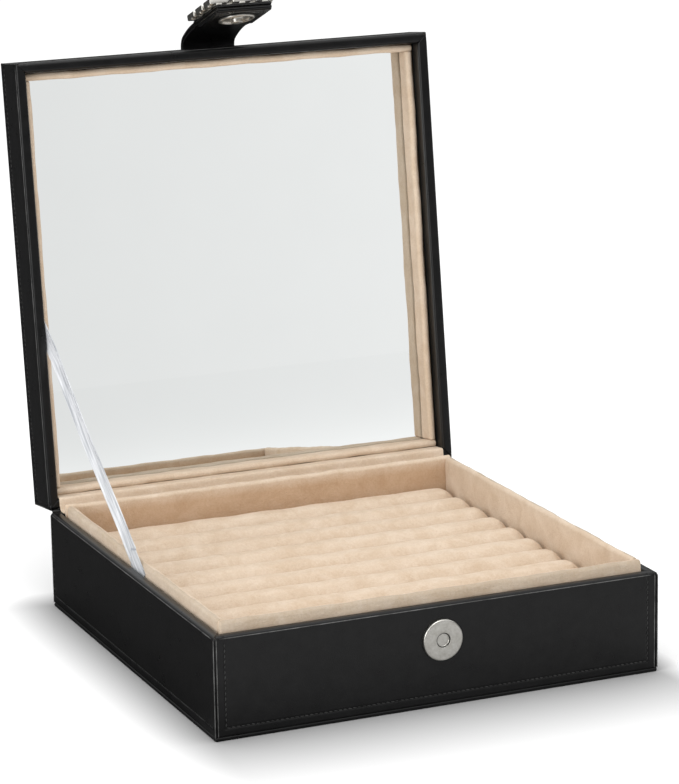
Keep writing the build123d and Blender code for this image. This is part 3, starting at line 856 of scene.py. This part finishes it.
# Painted reflection: the silver's colour rises from left to right.
painted_reflection_ramp = spread(silver_tree, silver_parts.outputs["X"], 0.3, 0.7, first=-95 * MM, last=95 * MM)
haze_and_painted_reflection = add_node(silver_tree, "ShaderNodeMix", Factor=0.12)
silver_tree.links.new(painted_reflection_ramp, haze_and_painted_reflection.inputs["A"])
silver_tree.links.new(haze.outputs["Fac"], haze_and_painted_reflection.inputs["B"])
silver_tone = ramp(silver_tree, haze_and_painted_reflection.outputs["Result"], (0.71, 0.725, 0.72), (0.79, 0.805, 0.8))
silver_tree.links.new(silver_tone, silver_shader.inputs["Base Color"])


def paint_node(node, material):
    """A CAD node keeps its shape and takes a finished material."""
    piece = frame["nodes"][node]
    piece.data.materials.clear()
    piece.data.materials.append(material)


paint_node("mirror_glass", silver)

# Boards, cards and foam: the fibre boards that stiffen the case, the cards under the tray and
# behind the mirror, and the foam under and inside the ring rolls. They are out of sight and raw.
fibre = finish_material(
    "fibre_board", pile, ((0.24, 0.15, 0.085), (0.36, 0.24, 0.14)),
    rough=(0.75, 0.9), bump=0.4, distance=0.2 * MM,
)
card = finish_material(
    "grey_card", pile, ((0.32, 0.3, 0.27), (0.42, 0.4, 0.36)),
    rough=(0.8, 0.95), bump=0.3, distance=0.1 * MM,
)
foam = finish_material(
    "cream_foam", pile, ((0.62, 0.58, 0.46), (0.72, 0.68, 0.56)),
    rough=(0.9, 1.0), bump=0.8, distance=0.5 * MM,
)
for case, flat in (("base", "bottom"), ("lid", "top")):
    for side in (flat, *QUARTERS):
        paint_node(f"{case}_board_{side}", fibre)
for node in ("tray_floor_card", "mirror_backing_card"):
    paint_node(node, card)
paint_node("tray_foam_pad", foam)
CORE_SHORT = 7 * MM
CORE_THIN = 2.8 * MM
cores = []
for number in range(1, ROLLS + 1):
    low, high = cad_box(f"ring_roll_{number:02d}")
    half = (high - low) / 2 - (CORE_SHORT, CORE_THIN, CORE_THIN)
    rings = bar_rings(2 * half[0], half[1], half[2], corner=6 * MM, end=3 * MM, step=20 * MM, per_corner=7)
    cores.append(tube_part(rings + (low + high) / 2))
add_piece("roll_cores", joined(cores), foam, "base", ("ring_roll_cores",))

# Hinge: a strip of leather glued down the backs of the base and the lid, and inside it a
# strip of the same velvet as the lining. Both are shaped as they lie with the lid open.
END_ROUND = 0.3 * MM
SPINE_THICK = 0.7 * MM
STRIP_THICK = 0.4 * MM


def carried(path, lift, low_x, high_x, step):
    """A strip along X as a skin: the path in (y, z) and the path lifted along its left normal.

    The lift falls to a fifth at both ends of the strip, by a quarter circle of radius END_ROUND.
    """
    way = np.gradient(path, axis=0)
    normal = np.stack((-way[:, 1], way[:, 0]), -1) / np.linalg.norm(way, axis=1)[:, None]
    x = close_levels(low_x, high_x, (low_x, high_x), reach=0.4 * MM, coarse=step)
    thin = bend_in(np.minimum(x - low_x, high_x - x), END_ROUND)[:, None, None] / END_ROUND
    top = path + normal * lift * (1 - 0.8 * thin)
    wide = np.broadcast_to(x[:, None, None], (len(x), len(path), 1))
    return [np.concatenate((wide, np.broadcast_to(side, top.shape)), -1) for side in (top, path)]


def through(*runs):
    """Several runs of points as one path, each run a list or an array of (y, z)."""
    return np.concatenate([np.asarray(run, float) for run in runs])


def evenly(start, end, count):
    """Points evenly spaced from a start to an end."""
    return np.linspace(start, end, count)


def open_point(y, z):
    """(y, z) of a point of the shut lid, with the lid open."""
    return opened(np.array((0.0, y, z)))[1:]


SPINE_REACH = 12 * MM
SPINE_HALF = HALF - 1 * MM
base_back = np.array((HALF, RIM))
spine_path = through(
    evenly((HALF, RIM - SPINE_REACH), base_back - (0, 1.2 * MM), 8),
    evenly(base_back - (0, 0.8 * MM), base_back, 3),
    evenly(open_point(HALF, LID_RIM), open_point(HALF, LID_RIM + SPINE_REACH), 9),
)
shape = skin_parts(*carried(spine_path, -SPINE_THICK, -SPINE_HALF, SPINE_HALF, step=8 * MM))
spine = add_piece("hinge_spine", shape, leather, None, ("hinge_spine_leather",))
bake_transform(spine)

TRAY = HALF - WALL
STRIP_HALF = TRAY - 0.1 * MM
GLUE = 0.05 * MM
turn_in = LID_AXIS[0] - 1.25 * MM
on_lid_rim = [open_point(TRAY + inset, LID_RIM - GLUE) for inset in (3 * MM, 0.5 * MM)]
in_lid = [open_point(TRAY - 0.03 * MM, LID_RIM + depth) for depth in (0.6 * MM, 7.5 * MM)]
lining_path = through(
    evenly((TRAY - 0.3 * MM, RIM + GLUE), (turn_in, RIM + GLUE), 7),
    arc((turn_in, RIM + 1.25 * MM), 1.2 * MM, -80, 0, 6),
    evenly(*on_lid_rim, 5),
    [open_point(TRAY + 0.1 * MM, LID_RIM + 0.1 * MM)],
    evenly(*in_lid, 6),
)
outer, inner = carried(lining_path, STRIP_THICK, -STRIP_HALF, STRIP_HALF, step=3 * MM)
shape = skin_parts(ripple(outer, 0.06 * MM, phase=5.0), inner)
strip = add_piece("hinge_velvet_strip", shape, velvet, None, ("hinge_inner_lining",))
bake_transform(strip)

# Ribbon stay: white satin ribbon, tucked between wall and lining in the base and in the lid,
# pulled straight by the open lid. It has one soft fold across it near the base, with painted
# shade in its valley, and grey streaks painted along it for the satin's sheen.
def satin_group():
    """Height: fine threads from a wave pattern. Tone: slow streaks along the ribbon, painted light and
    shade of the satin's sheen, from noise stretched lengthways. Both are read in the ribbon's UV map.
    """
    group, given, out = new_group("satin_weave", {"Threads": 10.0, "Streaks": 6.0}, ("Height", "Tone"))
    place = group.nodes.new("ShaderNodeTexCoord").outputs["UV"]
    stretch = add_node(group, "ShaderNodeMapping", Scale=(0.07, 1, 1))
    group.links.new(place, stretch.inputs["Vector"])
    threads = pattern_texture(group, "ShaderNodeTexWave", place, given.outputs["Threads"], Detail=1.0)
    threads.inputs["Distortion"].default_value = 0.6
    stretched, scale = stretch.outputs["Vector"], given.outputs["Streaks"]
    streaks = pattern_texture(group, "ShaderNodeTexNoise", stretched, scale, Detail=4.0)
    group.links.new(threads.outputs["Fac"], out.inputs["Height"])
    group.links.new(streaks.outputs["Fac"], out.inputs["Tone"])
    return group


weave = satin_group()
# White satin whose tone falls to grey in lengthways streaks: painted sheen and shade.
satin = finish_material(
    "white_satin", weave, ((0.3, 0.32, 0.345), (0.78, 0.79, 0.81)),
    rough=(0.28, 0.42), bump=0.25, distance=0.04 * MM, Specular_IOR_Level=0.6, Sheen_Weight=0.25,
)
# Painted shade along the valley of the fold.
tint_where(satin, "painted_fold_shade", (0.42, 0.46, 0.52))
RIBBON_WIDTH = 10 * MM
RIBBON_THICK = 0.3 * MM
RIBBON_TUCK = 6 * MM
RIBBON_BOW = 0.9 * MM
FOLD_AT = 13 * MM
FOLD_SLOPE = 0.9
FOLD_STEP = 0.35 * MM
FOLD_SHADE_WIDTH = 0.55 * MM
SLOT_X = -(TRAY - 0.2 * MM)
base_slot = np.array((-2 * MM, RIM))
lid_slot = open_point(HALF - 84 * MM, LID_RIM + 6.5 * MM)
ribbon_span = np.linalg.norm(lid_slot - base_slot)


def ribbon_grids():
    """(outer, inner, weave, fold) grids over (t, w): t along the ribbon, w across it, moved in x.

    The ribbon is free from 25 mm past one slot to 22 mm short of the other, and less so towards
    them. Where it is free it bows by a cosine of w and waves by a slow sine of t, with a trace of
    lengthways pleats. The fold is a logistic step that dies away along t. Its place in t falls
    with the distance from the middle, which makes a V. The weave grid is (t, w) in ribbon widths.
    The fold grid, painted shade, is 1 along the fold's valley and falls off as a bell curve.
    """
    way = (lid_slot - base_slot) / ribbon_span
    across = np.array((-way[1], way[0]))
    t = np.linspace(-RIBBON_TUCK, ribbon_span + RIBBON_TUCK, 90)
    t = np.unique(np.concatenate((t, np.linspace(7, 20, 90) * MM)))
    w = np.linspace(-0.5, 0.5, 17) * RIBBON_WIDTH
    t, w = np.meshgrid(t, w, indexing="ij")
    free = np.clip((t - 7 * MM) / (18 * MM), 0, 1)
    free = free * np.clip((ribbon_span - 4 * MM - t) / (18 * MM), 0, 1)
    bow = RIBBON_BOW * free * np.cos(np.pi * w / RIBBON_WIDTH)
    wave = 0.3 * MM * free * np.sin(9 * t / ribbon_span)
    pleats = 0.05 * MM * free * np.sin(2 * np.pi * w / (3.4 * MM) + 2.5 * np.sin(t / (16 * MM)))
    past = t - FOLD_AT + FOLD_SLOPE * np.abs(w)
    ridge = FOLD_STEP / (1 + np.exp(-past / (0.15 * MM))) * np.exp(-np.maximum(past, 0) / (5 * MM))
    fold = np.exp(-((past + 0.5 * MM) / FOLD_SHADE_WIDTH) ** 2)
    place = base_slot + t[..., None] * way + w[..., None] * across
    selvedge = 0.25 * MM * (np.abs(w) > 0.4 * RIBBON_WIDTH) * (free > 0)
    sides = []
    for side in (-0.5, 0.5):
        x = SLOT_X + side * (RIBBON_THICK + selvedge) + (bow + wave) + (ridge + pleats)
        sides.append(np.concatenate((x[..., None], place), -1))
    return *sides, np.stack((t, w), -1) / RIBBON_WIDTH, fold


outer, inner, woven, painted_fold_shade = ribbon_grids()
ribbon = add_piece("satin_ribbon", skin_parts(outer, inner), satin, None, ("ribbon_stay",))
corner = np.zeros(len(ribbon.data.loops), np.int32)
ribbon.data.loops.foreach_get("vertex_index", corner)
woven = np.tile(woven.reshape(-1, 2), (2, 1))[corner]
ribbon.data.uv_layers.new(name="weave").data.foreach_set("uv", woven.astype(np.float32).ravel())
painted_fold_shade = np.tile(painted_fold_shade.ravel(), 2)
ribbon.data.attributes.new("painted_fold_shade", "FLOAT", "POINT").data.foreach_set("value", painted_fold_shade)
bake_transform(ribbon)

# Snap, fixed half: a nickel-plated cup over a ring magnet, pronged through the front wall. Its
# face is brushed by use and has a round hole that takes the stud.
def metal_group():
    """Height: fine scratches with small pits. Rub: where handling has dulled the plate."""
    group, given, out = new_group("plate_wear", {"Scratches": 900.0}, ("Height", "Rub"))
    place = group.nodes.new("ShaderNodeTexCoord").outputs["Object"]
    stretch = add_node(group, "ShaderNodeMapping", Rotation=(0.3, 0.5, 0.4), Scale=(0.12, 1, 1))
    group.links.new(place, stretch.inputs["Vector"])
    stretched, scale = stretch.outputs["Vector"], given.outputs["Scratches"]
    noise = "ShaderNodeTexNoise"
    scratches = pattern_texture(group, noise, stretched, scale, Detail=6.0, Roughness=0.75)
    wear_and_rim_shade = pattern_texture(group, noise, place, 420.0, Detail=6.0, Roughness=0.7)
    group.links.new(scratches.outputs["Fac"], out.inputs["Height"])
    group.links.new(wear_and_rim_shade.outputs["Fac"], out.inputs["Rub"])
    return group


plate_wear = metal_group()
nickel = finish_material(
    "satin_nickel", plate_wear, ((0.57, 0.55, 0.5), (0.82, 0.805, 0.76)),
    rough=(0.24, 0.4), bump=0.25, distance=0.06 * MM, Metallic=1.0,
)
steel = finish_material(
    "washer_steel", plate_wear, ((0.4, 0.4, 0.4), (0.5, 0.5, 0.5)),
    rough=(0.35, 0.5), bump=0.3, distance=0.1 * MM, Metallic=1.0,
)
ferrite = finish_material(
    "ferrite", grain, ((0.008, 0.008, 0.008), (0.02, 0.02, 0.02)),
    rough=(0.6, 0.8), bump=0.3, distance=0.1 * MM,
)
AROUND = 64


def turned_profile(profile):
    """A profile of (radius, height) turned once round: grids of (u, v, height), u and v the
    radius times the cosine and the sine of the angle.
    """
    angle = np.linspace(0, 2 * np.pi, AROUND, endpoint=False)
    u = profile[:, 0:1] * np.cos(angle)
    v = profile[:, 0:1] * np.sin(angle)
    return u, v, np.broadcast_to(profile[:, 1:2], u.shape)


def snap_rings(profile):
    """A turned profile on the front wall, where the height is outwards from the leather."""
    x, z, height = turned_profile(profile)
    return np.stack((x, -height, z), -1) + snap_place


def rounded_profile(*runs):
    """Runs of (radius, height) points in millimetres as one profile in metres."""
    return through(*runs) * MM


socket_low, socket_high = cad_box("snap_socket")
snap_place = np.array((0, -HALF, (socket_low[2] + socket_high[2]) / 2))
cup = rounded_profile(
    [(0.05, 0.62), (1.3, 0.62)], arc((2.46, 1.02), 0.4, 270, 360, 7),
    [(3.15, 1.02), (3.15, 1.5)], arc((3.35, 1.59), 0.2, 180, 90, 5),
    [(5.0, 1.79), (6.8, 1.78), (7.9, 1.74)], arc((8.3, 1.05), 0.7, 80, 0, 8),
    [(9.0, 0.3), (8.9, 0.0), (4.0, 0.0), (0.05, 0.0)],
)
add_piece("snap_cup", tube_part(snap_rings(cup)), nickel, "base", ("snap_socket",))
bore = rounded_profile([(3.13, 1.05), (2.86, 1.05), (2.86, 1.5), (3.13, 1.55)])
points = snap_rings(bore).reshape(-1, 3)
bore_part = (points, facing_out(points, grid_faces(len(bore), AROUND, True, True)))
add_piece("snap_bore", bore_part, ferrite, "base")
paint_node("snap_magnet", ferrite)
paint_node("snap_socket_washer", steel)
paint_node("snap_stud_washer", steel)

# Clasp strap: two plies of leather glued back to back, stitched on the lid, bent over its front
# edge and widened to a tab. With the box open the leather's set holds it out from the lid.
clasp_joint = frame["joints"][1]
CLASP_AXIS = turned(np.array(clasp_joint["pos_m"]), LID_AXIS, LID_OPEN)[1:]
CLASP_TRAVEL = np.radians(clasp_joint["range_deg"][1])


def sprung(points):
    """Points of the shut clasp, let go to where the leather's set holds it on the open lid."""
    return opened(turned(points, CLASP_AXIS, -CLASP_TRAVEL))


def clasp_box(node):
    """Lowest and highest corner of a node of the clasp, with the box shut."""
    points = turned(turned(node_points(node), LID_AXIS, LID_OPEN), CLASP_AXIS, CLASP_TRAVEL)
    return points.min(0), points.max(0)


PLY = 1.5 * MM
PLY_GAP = 0.03 * MM
PAD_THICK = 1 * MM
PAD_START = 7 * MM
PAD_STEP = 4 * MM
THREAD_SINK = 0.05 * MM
STRAP_FINE = 1.6 * MM
STRAP_COARSE = 2.5 * MM
ANCHOR = 30 * MM
TIGHT, TIGHT_TURN = 5.5 * MM, 60
SLACK, SLACK_TURN = 58.5 * MM, 16
TAB_START = clasp_box("clasp_leather_upper")[1][2]
TAB_LENGTH = TAB_START - clasp_box("clasp_leather_upper")[0][2]
TAB_BACK = clasp_box("clasp_leather_lining")[1][1]
TAB_MIDDLE = TAB_BACK - PLY
STRAP_HALF = 13 * MM
TAB_HALF = 13.7 * MM
TAB_CORNER = 1.5 * MM


ACROSS = np.sin(np.linspace(-90, 90, 41) * np.pi / 180)


def strap_line():
    """(y, z) points down the middle of the strap with the lid shut and the clasp free, and the
    distance of each from the lid's edge: straight, a tight arc, a slack arc, straight.
    """
    level = LID_TOP + PLY
    centre = np.array((-HALF, level - TIGHT))
    tight = arc(centre, TIGHT, 90, 90 + TIGHT_TURN, 14)
    slack_centre = tight[-1] + (centre - tight[-1]) * SLACK / TIGHT
    slack = arc(slack_centre, SLACK, 90 + TIGHT_TURN, 90 + TIGHT_TURN + SLACK_TURN, 12)
    turn = np.radians(90 + TIGHT_TURN + SLACK_TURN)
    way = np.array((-np.sin(turn), np.cos(turn)))
    run = close_levels(0, TAB_LENGTH, (0, TAB_LENGTH), STRAP_FINE, STRAP_COARSE)[1:]
    back = close_levels(0, ANCHOR, (ANCHOR,), STRAP_FINE, STRAP_COARSE)[:0:-1]
    start = centre + (0, TIGHT) + np.stack((back, 0 * back), -1)
    line = through(start, tight, slack[1:], slack[-1] + run[:, None] * way)
    gaps = np.linalg.norm(np.diff(line, axis=0), axis=1)
    return line, np.concatenate(([0], np.cumsum(gaps))) - ANCHOR


def strap_ply(low, high):
    """A ply between two heights from the middle line, wide at the tab and round at both ends.

    The half width goes from the strap's to the tab's by a logistic curve. Across the strap, x is
    the half width times a sine, which crowds the points at the edges, where the ply rolls in.
    """
    line, run = strap_line()
    end = run[-1]
    way = np.gradient(line, axis=0)
    normal = np.stack((way[:, 1], -way[:, 0]), -1) / np.linalg.norm(way, axis=1)[:, None]
    widening = 1 / (1 + np.exp(-(run - (end - TAB_LENGTH + 1.2 * MM)) / (0.35 * MM)))
    half = STRAP_HALF + (TAB_HALF - STRAP_HALF) * widening
    half = half - bend_in(np.minimum(end - run, run + ANCHOR), TAB_CORNER)
    x = half[:, None] * ACROSS
    edge = np.minimum(half[:, None] - np.abs(x), np.minimum(end - run, run + ANCHOR)[:, None])
    roll = bend_in(edge, 0.6 * MM)
    grids = []
    for height, sign in ((high, -1), (low, 1)):
        place = line[:, None, :] + normal[:, None, :] * (height + sign * 0.55 * roll)[..., None]
        grids.append(opened(np.concatenate((x[..., None], place), -1)))
    return grids


def bend_strap(piece):
    """Bakes the ply's placing into its points; the ply rides on no body."""
    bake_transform(piece)


upper = add_piece(
    "clasp_strap_face", skin_parts(*strap_ply(PLY_GAP, PLY)), leather, None,
    ("clasp_leather_upper", "strap_anchor", "strap_bend"),
)
bend_strap(upper)
under = add_piece(
    "clasp_strap_lining", skin_parts(*strap_ply(-PLY, -PLY_GAP)), leather, None,
    ("clasp_leather_lining",),
)
bend_strap(under)


def tab_points(x, t, h):
    """World points of the tab: t down from its start, h out from the middle line, box open."""
    x, t, h = np.broadcast_arrays(x, t, h)
    return sprung(np.stack((x, TAB_MIDDLE - h, TAB_START - t), -1))


def pad_part():
    """The pad under the tab: a skin whose edges roll by bend_in, with a creased line near its end."""
    marks = (PAD_START, TAB_LENGTH, TAB_LENGTH - PAD_STEP)
    t = close_levels(PAD_START, TAB_LENGTH, marks, reach=1.2 * MM, coarse=3 * MM)[:, None]
    half = TAB_HALF - 0.3 * MM - bend_in(TAB_LENGTH - t, TAB_CORNER)
    x = half * ACROSS
    edge = np.minimum(half - np.abs(x), np.minimum(t - PAD_START, TAB_LENGTH - t))
    dip = 0.25 * MM * crease(t - TAB_LENGTH + PAD_STEP)
    depth = PLY + PAD_THICK - 0.8 * bend_in(edge, 0.8 * MM) - dip
    return skin_parts(tab_points(x, t, -depth), tab_points(x, t, -PLY + 0 * x))


add_piece("clasp_pad", pad_part(), leather, "clasp", ("clasp_end_pad",))


def tab_stitches():
    """Stitches down both sides of the pad and across its end."""
    half, low, high = TAB_HALF - 2.2 * MM, 9.5 * MM, TAB_LENGTH - 2.2 * MM
    rows = [((-half, low), (-half, high)), ((-half, high), (half, high)), ((half, high), (half, low))]
    points, faces = thread_rows(rows, PLY + PAD_THICK - THREAD_SINK)
    points = tab_points(points[:, 0], points[:, 2], points[:, 1])
    return points, facing_out(points, faces)


add_piece("clasp_pad_stitches", tab_stitches(), thread, "clasp")
half, near, far = STRAP_HALF - 2.4 * MM, -HALF + 4 * MM, -HALF + ANCHOR - 2.6 * MM
corners = [(-half, near), (-half, far), (half, far), (half, near)]
stitches = lid_top_stitches(corners, 2 * PLY - THREAD_SINK)
add_piece("strap_end_stitches", stitches, thread, "lid")

# Snap, moving half: a dished nickel disc with a stud, pronged through the tab's lining. The disc
# lies on the pad, and the stud goes into the cup's hole when the box is shut.
disc_low, disc_high = clasp_box("snap_stud")
disc_middle = TAB_START - (disc_low[2] + disc_high[2]) / 2
disc = rounded_profile(
    [(0.05, 0.0), (4.0, 0.0), (8.2, 0.0)], arc((8.0, 0.5), 0.5, -50, 0, 4),
    arc((8.0, 0.7), 0.5, 0, 90, 7), arc((7.4, 0.85), 0.35, 90, 180, 5),
    [(6.95, 0.55), (6.5, 0.4), (4.2, 0.38), (3.1, 0.42), (2.85, 0.6), (2.8, 1.5)],
    arc((2.35, 2.1), 0.45, 0, 90, 6), [(1.2, 2.57), (0.05, 2.58)],
)
x, t, height = turned_profile(disc)
button = tube_part(tab_points(x, disc_middle + t, -(PLY + PAD_THICK) - height))
add_piece("snap_button", button, nickel, "clasp", ("snap_stud",))

# Ornament: a cast and plated lattice of flat bars with nine raised blocks, held to the tab's
# face by four short pins. It stands a little proud of the tab all round.
BLOCK = 9 * MM
PITCH = 11.3 * MM
BLOCK_HEIGHT = 2.4 * MM
BAR_WIDTH = 3 * MM
BAR_HEIGHT = 1.2 * MM
BAR_ROUND = 0.4 * MM
BLOCK_ROUND = 0.7 * MM
ornament_low, ornament_high = clasp_box("clasp_ornament")
ornament_middle = TAB_START - (ornament_low[2] + ornament_high[2]) / 2
SPAN = 2 * PITCH + BLOCK


def cast_bar(x, t, length, half_w, low, high, corner, lengthways):
    """A rounded bar on the tab's face between two heights, along x or down the tab."""
    rings = bar_rings(length, half_w, (high - low) / 2, corner, end=corner, step=length / 3)
    across, down = (1, 0) if lengthways else (0, 1)
    height = (low + high) / 2 + rings[..., 2]
    return tube_part(tab_points(x + rings[..., across], t + rings[..., down], height))


bar_top = PLY + BAR_HEIGHT
bar = (SPAN, BAR_WIDTH / 2, PLY, bar_top, BAR_ROUND)
block = (BLOCK, BLOCK / 2, PLY + 0.5 * BAR_HEIGHT, bar_top + BLOCK_HEIGHT, BLOCK_ROUND)
parts = []
for step in (-PITCH, 0, PITCH):
    parts.append(cast_bar(0, ornament_middle + step, *bar, lengthways=False))
    parts.append(cast_bar(step, ornament_middle, *bar, lengthways=True))
    for other in (-PITCH, 0, PITCH):
        parts.append(cast_bar(step, ornament_middle + other, *block, lengthways=False))
add_piece("block_ornament", joined(parts), nickel, "clasp", ("clasp_ornament",))
